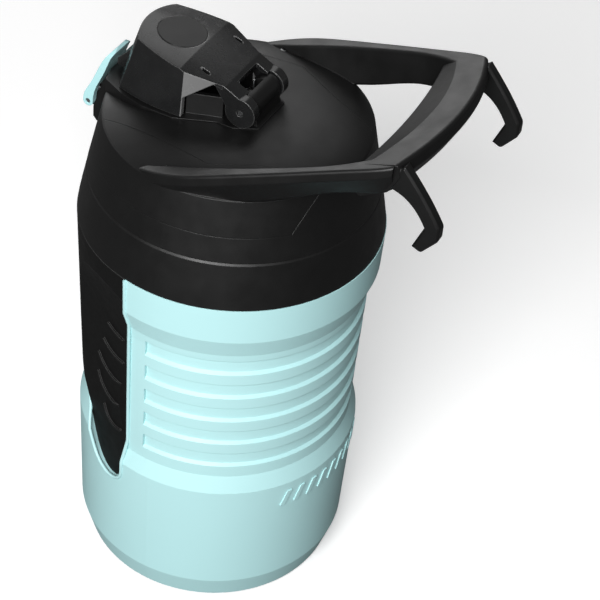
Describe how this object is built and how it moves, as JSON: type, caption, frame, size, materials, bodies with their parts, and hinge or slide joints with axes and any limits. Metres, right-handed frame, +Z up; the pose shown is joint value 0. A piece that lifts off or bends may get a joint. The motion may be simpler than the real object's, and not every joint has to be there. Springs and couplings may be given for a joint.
{
  "type": "insulated water jug",
  "caption": "Large foam-insulated water jug with a screw lid, a flip cap over a wide spout, a front latch, and a tilted carrying handle with hooks.",
  "frame": {"origin": "centre of the jug's flat underside", "axes": "+Z up along the jug's axis, spout and latch towards -Y, handle towards +Y"},
  "size_m": [0.145, 0.195, 0.3023],
  "materials": {
    "shell_mint": "satin moulded polyethylene, pale mint",
    "panel_rubber": "matt black soft-touch rubber",
    "lid_black": "matt black moulded polypropylene",
    "liner_white": "off-white food-grade polypropylene",
    "foam_cream": "rigid polyurethane foam, cream",
    "seal_silicone": "dark grey silicone",
    "cap_smoke": "smoky translucent glossy plastic",
    "latch_mint": "satin moulded plastic, pale mint",
    "pin_steel": "drawn stainless steel"
  },
  "bodies": {
    "jug": {"outer_shell": "shell_mint", "base_cap": "shell_mint", "foam_plug": "lid_black", "grip_panel": "panel_rubber", "inner_liner": "liner_white", "insulation_foam": "foam_cream", "collar_ring": "lid_black"},
    "gasket": {"lid_gasket": "seal_silicone"},
    "lid": {"lid_shell": "lid_black", "lid_liner": "liner_white", "handle": "lid_black", "handle_screws": "pin_steel", "spout_base": "lid_black", "spout": "lid_black", "spout_gasket": "seal_silicone", "hinge_pin": "pin_steel", "hinge_spring": "pin_steel", "latch_pin": "pin_steel", "latch_spring": "pin_steel"},
    "cap": {"spout_cap": "cap_smoke", "cap_disc": "lid_black", "cap_seal": "seal_silicone"},
    "latch": {"latch": "latch_mint"}
  },
  "joints": [
    {"name": "lid_lift", "type": "slide", "parent": "jug", "child": "gasket", "axis": [0, 0, 1], "range_m": [0, 0.0121]},
    {"name": "lid_turn", "type": "hinge", "parent": "gasket", "child": "lid", "pos_m": [0, 0, 0.24], "axis": [0, 0, 1], "range_deg": [0, 540]},
    {"name": "cap_hinge", "type": "hinge", "parent": "lid", "child": "cap", "pos_m": [0, 0.008, 0.2708], "axis": [-1, 0, 0], "range_deg": [0, 110]},
    {"name": "latch_swing", "type": "hinge", "parent": "lid", "child": "latch", "pos_m": [0, -0.0744, 0.2399], "axis": [1, 0, 0], "range_deg": [0, 50]}
  ],
  "couplings": [
    {"joint": "lid_lift", "follows": "lid_turn", "m_per_rad": 0.0012732}
  ]
}
